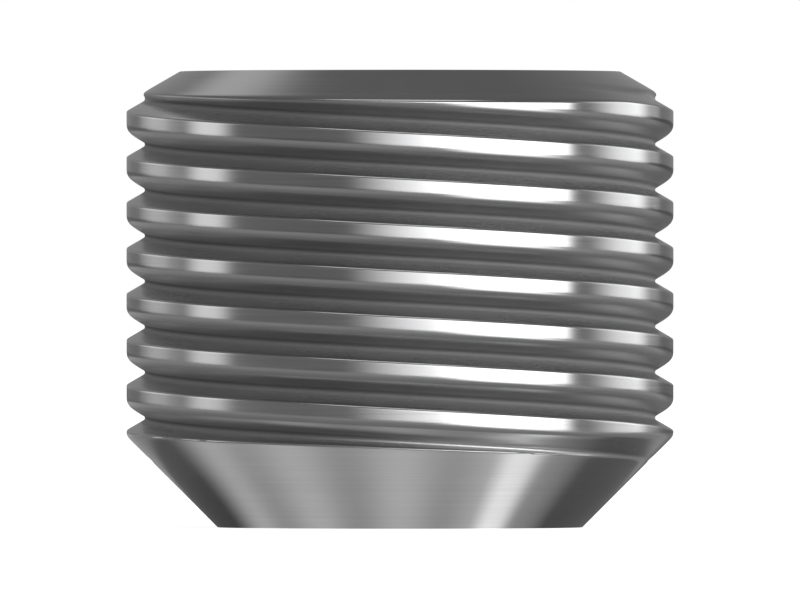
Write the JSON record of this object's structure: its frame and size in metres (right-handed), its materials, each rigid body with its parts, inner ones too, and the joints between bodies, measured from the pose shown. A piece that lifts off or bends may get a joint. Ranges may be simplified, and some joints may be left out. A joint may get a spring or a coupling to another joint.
{
  "type": "grub set screw",
  "caption": "Short headless set screw with fine left-hand thread grooves, a hexagon socket in one end and a flat point on a conical other end.",
  "frame": {"origin": "centre of the flat point's face, on which the screw stands", "axes": "+Z along the screw axis from the flat point towards the socket end; -Y is the side that the picture shows; the hexagon has corners on the X axis"},
  "size_m": [0.006, 0.006, 0.005],
  "materials": {
    "steel": "turned and polished"
  },
  "bodies": {
    "root": {"set_screw": "steel"}
  },
  "joints": []
}
